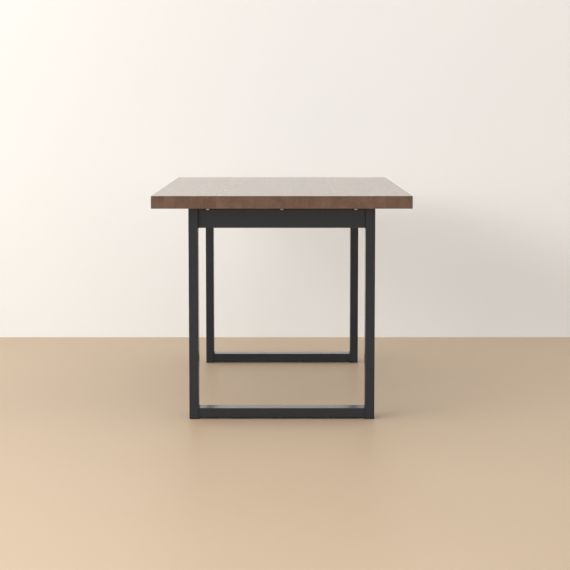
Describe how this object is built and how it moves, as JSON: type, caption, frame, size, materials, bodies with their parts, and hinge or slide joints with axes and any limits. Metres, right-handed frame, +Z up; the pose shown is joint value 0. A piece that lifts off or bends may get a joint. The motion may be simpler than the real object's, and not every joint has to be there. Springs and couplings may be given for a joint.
{
  "type": "butcher block table",
  "caption": "Rectangular dining table with an edge-glued walnut top on two rectangular-tube steel loop frames with levelling feet.",
  "frame": {"origin": "on the floor, under the middle of the tabletop", "axes": "+X across the table, +Y along it from the front frame to the rear frame, +Z up"},
  "size_m": [0.8, 1.4, 0.704],
  "materials": {
    "walnut": "satin clear lacquer",
    "powder_coat": "satin black powder coat",
    "zinc_plate": "bright zinc plate",
    "nylon": "moulded nylon"
  },
  "bodies": {
    "table": {"top_stave_01": "walnut", "top_stave_02": "walnut", "top_stave_03": "walnut", "top_stave_04": "walnut", "top_stave_05": "walnut", "top_stave_06": "walnut", "top_stave_07": "walnut", "top_stave_08": "walnut", "top_stave_09": "walnut", "top_stave_10": "walnut", "top_stave_11": "walnut", "top_stave_12": "walnut", "top_stave_13": "walnut", "top_stave_14": "walnut", "top_stave_15": "walnut", "top_stave_16": "walnut", "top_stave_17": "walnut", "top_stave_18": "walnut", "top_stave_19": "walnut", "top_stave_20": "walnut", "front_foot_rail": "powder_coat", "front_top_rail": "powder_coat", "front_mounting_plate": "powder_coat", "front_frame_screws": "zinc_plate", "front_screw_washers": "zinc_plate", "front_threaded_inserts": "zinc_plate", "front_weld_nuts": "zinc_plate", "front_left_leg": "powder_coat", "front_left_end_plate": "powder_coat", "front_right_leg": "powder_coat", "front_right_end_plate": "powder_coat", "rear_foot_rail": "powder_coat", "rear_top_rail": "powder_coat", "rear_mounting_plate": "powder_coat", "rear_frame_screws": "zinc_plate", "rear_screw_washers": "zinc_plate", "rear_threaded_inserts": "zinc_plate", "rear_weld_nuts": "zinc_plate", "rear_left_leg": "powder_coat", "rear_left_end_plate": "powder_coat", "rear_right_leg": "powder_coat", "rear_right_end_plate": "powder_coat"},
    "front_left_foot_pad": {"front_left_slip_pad": "nylon"},
    "front_left_foot_screw": {"front_left_levelling_screw": "zinc_plate"},
    "front_right_foot_pad": {"front_right_slip_pad": "nylon"},
    "front_right_foot_screw": {"front_right_levelling_screw": "zinc_plate"},
    "rear_left_foot_pad": {"rear_left_slip_pad": "nylon"},
    "rear_left_foot_screw": {"rear_left_levelling_screw": "zinc_plate"},
    "rear_right_foot_pad": {"rear_right_slip_pad": "nylon"},
    "rear_right_foot_screw": {"rear_right_levelling_screw": "zinc_plate"}
  },
  "joints": [
    {"name": "front_left_foot_travel", "type": "slide", "parent": "table", "child": "front_left_foot_pad", "axis": [0, 0, 1], "range_m": [-0.01, 0]},
    {"name": "front_left_foot_turn", "type": "hinge", "parent": "front_left_foot_pad", "child": "front_left_foot_screw", "pos_m": [-0.275, -0.595, 0.0045], "axis": [0, 0, 1], "range_deg": [-2881, 1]},
    {"name": "front_right_foot_travel", "type": "slide", "parent": "table", "child": "front_right_foot_pad", "axis": [0, 0, 1], "range_m": [-0.01, 0]},
    {"name": "front_right_foot_turn", "type": "hinge", "parent": "front_right_foot_pad", "child": "front_right_foot_screw", "pos_m": [0.275, -0.595, 0.0045], "axis": [0, 0, 1], "range_deg": [-2881, 1]},
    {"name": "rear_left_foot_travel", "type": "slide", "parent": "table", "child": "rear_left_foot_pad", "axis": [0, 0, 1], "range_m": [-0.01, 0]},
    {"name": "rear_left_foot_turn", "type": "hinge", "parent": "rear_left_foot_pad", "child": "rear_left_foot_screw", "pos_m": [-0.275, 0.595, 0.0045], "axis": [0, 0, 1], "range_deg": [-2881, 1]},
    {"name": "rear_right_foot_travel", "type": "slide", "parent": "table", "child": "rear_right_foot_pad", "axis": [0, 0, 1], "range_m": [-0.01, 0]},
    {"name": "rear_right_foot_turn", "type": "hinge", "parent": "rear_right_foot_pad", "child": "rear_right_foot_screw", "pos_m": [0.275, 0.595, 0.0045], "axis": [0, 0, 1], "range_deg": [-2881, 1]}
  ],
  "couplings": [
    {"joint": "front_left_foot_turn", "follows": "front_left_foot_travel", "rad_per_m": 5026.5},
    {"joint": "front_right_foot_turn", "follows": "front_right_foot_travel", "rad_per_m": 5026.5},
    {"joint": "rear_left_foot_turn", "follows": "rear_left_foot_travel", "rad_per_m": 5026.5},
    {"joint": "rear_right_foot_turn", "follows": "rear_right_foot_travel", "rad_per_m": 5026.5}
  ]
}
